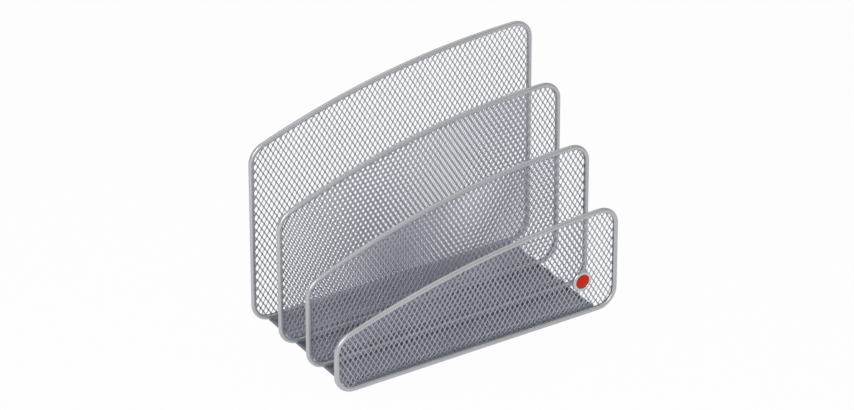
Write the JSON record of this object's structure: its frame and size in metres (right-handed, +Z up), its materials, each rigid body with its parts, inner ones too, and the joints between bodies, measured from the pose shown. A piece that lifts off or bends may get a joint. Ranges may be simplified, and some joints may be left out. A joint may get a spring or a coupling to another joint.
{
  "type": "mesh letter sorter",
  "caption": "Desktop letter sorter of painted expanded-metal panels rising from front to back, each in a folded steel rim with a top edge that curves up to the right, over a sheet-steel floor.",
  "frame": {"origin": "middle of the whole sorter on the table surface", "axes": "+X to the right as seen from the front, +Y from the lowest panel at the front to the tallest at the back, +Z up"},
  "size_m": [0.18, 0.0905, 0.1406],
  "materials": {
    "silver_paint": "satin silver-grey stove enamel",
    "badge_metal": "satin plated",
    "badge_enamel": "gloss"
  },
  "bodies": {
    "root": {"rim_front": "silver_paint", "rim_second": "silver_paint", "rim_third": "silver_paint", "rim_rear": "silver_paint", "mesh_front": "silver_paint", "mesh_second": "silver_paint", "mesh_third": "silver_paint", "mesh_rear": "silver_paint", "floor_plate": "silver_paint", "floor_bar_left": "silver_paint", "floor_bar_right": "silver_paint", "badge_bezel": "badge_metal", "badge_inlay": "badge_enamel"}
  },
  "joints": []
}
